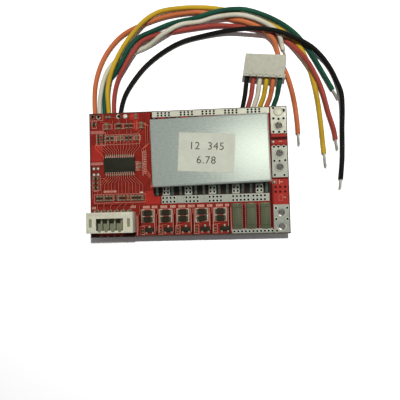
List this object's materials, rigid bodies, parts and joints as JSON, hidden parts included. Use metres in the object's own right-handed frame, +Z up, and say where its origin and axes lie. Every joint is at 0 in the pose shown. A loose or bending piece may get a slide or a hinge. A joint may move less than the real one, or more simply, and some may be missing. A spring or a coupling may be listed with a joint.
{
  "type": "battery management board",
  "caption": "Flat rectangular circuit board with power transistors under a plate heatsink, edge terminals, a side-entry balance header and a loose balance lead coiled round it.",
  "frame": {"origin": "centre of the board in X and Y, at the tips of the header's pins, which with the coiled lead are what the module stands on", "axes": "+X along the board towards the heavy-wire terminals, +Y towards the back edge, where the lead comes out, +Z up off the component side"},
  "size_m": [0.0783, 0.0724, 0.0104],
  "materials": {
    "board_mask": "satin red solder mask on glass-fibre laminate",
    "tinned_copper": "dull hot-air-levelled solder, slightly uneven",
    "bright_solder": "bright solder",
    "black_mould": "matt black epoxy moulding",
    "chip_black": "matt black epoxy moulding",
    "tinned_lead": "tin-plated copper alloy",
    "thermal_sheet": "soft grey bonding sheet",
    "heatsink_aluminium": "milled and lightly brushed",
    "label_film": "satin polyester film",
    "shunt_alloy": "dull grey resistance alloy",
    "resistor_black": "black glazed film on ceramic",
    "capacitor_tan": "unglazed tan ceramic",
    "ivory_nylon": "unfilled ivory nylon",
    "grey_nylon": "unfilled off-white nylon",
    "contact_bronze": "tinned phosphor bronze",
    "wire_black": "soft satin insulation",
    "wire_red": "soft satin insulation",
    "wire_white": "soft satin insulation",
    "wire_yellow": "soft satin insulation",
    "wire_orange": "soft satin insulation",
    "wire_green": "soft satin insulation"
  },
  "bodies": {
    "root": {"pcb": "board_mask", "terminal_pads": "tinned_copper", "terminal_solder": "bright_solder", "bus_pads": "tinned_copper", "underside_copper": "tinned_copper", "small_lands": "bright_solder", "mosfet_bodies": "black_mould", "mosfet_tabs": "tinned_lead", "mosfet_leads": "tinned_lead", "thermal_sheet": "thermal_sheet", "heatsink": "heatsink_aluminium", "rating_label": "label_film", "controller_chip": "chip_black", "controller_leads": "tinned_lead", "balance_resistors": "resistor_black", "balance_terminals": "bright_solder", "balance_transistors": "black_mould", "transistor_leads": "tinned_lead", "current_shunts": "shunt_alloy", "chip_resistors": "resistor_black", "chip_capacitors": "capacitor_tan", "chip_terminals": "bright_solder", "header_housing": "ivory_nylon", "header_pins": "tinned_lead", "header_solder": "bright_solder", "plug_housing": "grey_nylon", "plug_contacts": "contact_bronze", "wire_black": "wire_black", "wire_red": "wire_red", "wire_white": "wire_white", "wire_yellow": "wire_yellow", "wire_orange": "wire_orange", "wire_green": "wire_green", "wire_tips": "bright_solder"}
  },
  "joints": []
}
